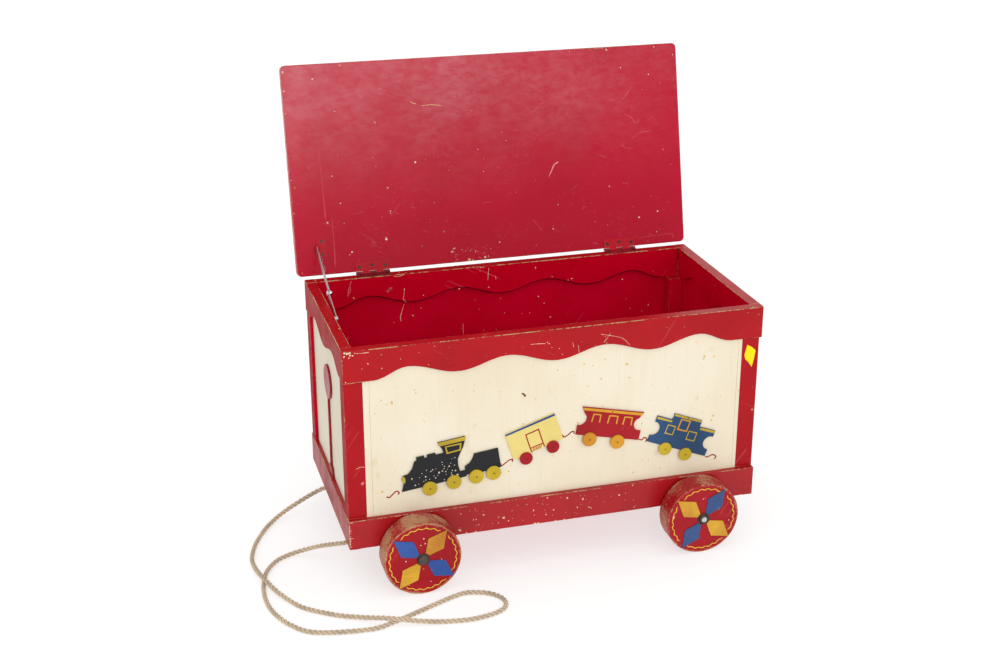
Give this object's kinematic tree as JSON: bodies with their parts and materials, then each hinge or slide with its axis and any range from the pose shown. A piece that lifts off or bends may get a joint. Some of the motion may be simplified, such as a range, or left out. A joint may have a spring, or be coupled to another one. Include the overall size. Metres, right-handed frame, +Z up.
{
  "type": "wheeled toy chest",
  "caption": "Wooden toy chest in the form of a railway wagon, with a hinged lid on a folding stay, solid wheels, a pull rope and a cut-out train on its front.",
  "frame": {"origin": "on the floor, under the middle of the object's box with the lid open, rope left out", "axes": "+X towards the right end, along the chest's length; +Y towards the back, where the lid is hinged; +Z up"},
  "size_m": [0.9066, 0.6341, 0.8192],
  "materials": {
    "red_paint": "satin paint, worn",
    "cream_paint": "satin paint over ply",
    "yellow_paint": "satin paint",
    "blue_paint": "satin paint",
    "black_paint": "satin paint",
    "straw_paint": "satin paint",
    "raw_wood": "bare wood",
    "zinc_steel": "dull zinc plate",
    "dark_steel": "dull dark steel",
    "painted_steel": "painted over",
    "rope_fibre": "twisted fibre"
  },
  "bodies": {
    "chest": {"rail_front": "red_paint", "rail_back": "red_paint", "rail_left": "red_paint", "rail_right": "red_paint", "post_front_left": "red_paint", "post_front_right": "red_paint", "post_back_left": "red_paint", "post_back_right": "red_paint", "panel_front": "cream_paint", "panel_back": "cream_paint", "panel_left": "cream_paint", "panel_right": "cream_paint", "base_front": "red_paint", "base_back": "red_paint", "base_left": "red_paint", "base_right": "red_paint", "floor_board": "red_paint", "axle_block_left": "raw_wood", "axle_block_right": "raw_wood", "axle_left": "zinc_steel", "axle_right": "zinc_steel", "axle_spacers": "dark_steel", "hub_caps": "dark_steel", "train_engine": "black_paint", "train_boxcar": "straw_paint", "train_coach": "red_paint", "train_caboose": "blue_paint", "train_wheels_yellow": "yellow_paint", "train_wheels_red": "red_paint", "train_nails": "dark_steel", "brake_wheel": "red_paint", "brake_staff": "red_paint", "brake_step": "red_paint", "hinge_leaves_chest": "painted_steel", "hinge_pins": "zinc_steel", "chest_screws": "dark_steel", "stay_rail_bracket": "zinc_steel", "rope": "rope_fibre", "rope_knots": "rope_fibre"},
    "lid": {"lid_board": "red_paint", "hinge_leaves_lid": "painted_steel", "lid_screws": "dark_steel", "stay_lid_bracket": "painted_steel"},
    "stay_lower": {"stay_lower_arm": "zinc_steel", "stay_lower_washer": "zinc_steel"},
    "stay_upper": {"stay_upper_arm": "zinc_steel", "stay_rivet": "zinc_steel", "stay_spring": "zinc_steel"},
    "wheel_front_left": {"wheel_front_left": "red_paint", "diamonds_front_left": "yellow_paint"},
    "wheel_back_left": {"wheel_back_left": "red_paint", "diamonds_back_left": "blue_paint"},
    "wheel_front_right": {"wheel_front_right": "red_paint", "diamonds_front_right": "blue_paint"},
    "wheel_back_right": {"wheel_back_right": "red_paint", "diamonds_back_right": "yellow_paint"}
  },
  "joints": [
    {"name": "lid_hinge", "type": "hinge", "parent": "chest", "child": "lid", "pos_m": [0, 0.1592, 0.4437], "axis": [1, 0, 0], "range_deg": [0, 102.8]},
    {"name": "stay_lower_pivot", "type": "hinge", "parent": "chest", "child": "stay_lower", "pos_m": [-0.3446, -0.0253, 0.43], "axis": [1, 0, 0], "range_deg": [-83.23, 0]},
    {"name": "stay_upper_pivot", "type": "hinge", "parent": "lid", "child": "stay_upper", "pos_m": [-0.3427, 0.16529, 0.49667], "axis": [1, 0, 0], "range_deg": [-86.4, 0]},
    {"name": "wheel_front_left_spin", "type": "hinge", "parent": "chest", "child": "wheel_front_left", "pos_m": [-0.253, -0.2368, 0.068], "axis": [0, 1, 0], "continuous": true},
    {"name": "wheel_back_left_spin", "type": "hinge", "parent": "chest", "child": "wheel_back_left", "pos_m": [-0.253, 0.1812, 0.068], "axis": [0, 1, 0], "continuous": true},
    {"name": "wheel_front_right_spin", "type": "hinge", "parent": "chest", "child": "wheel_front_right", "pos_m": [0.261, -0.2368, 0.068], "axis": [0, 1, 0], "continuous": true},
    {"name": "wheel_back_right_spin", "type": "hinge", "parent": "chest", "child": "wheel_back_right", "pos_m": [0.261, 0.1812, 0.068], "axis": [0, 1, 0], "continuous": true}
  ],
  "couplings": [
    {"joint": "stay_lower_pivot", "follows": "lid_hinge", "ratio": -0.80953},
    {"joint": "stay_upper_pivot", "follows": "lid_hinge", "ratio": -0.84039}
  ]
}
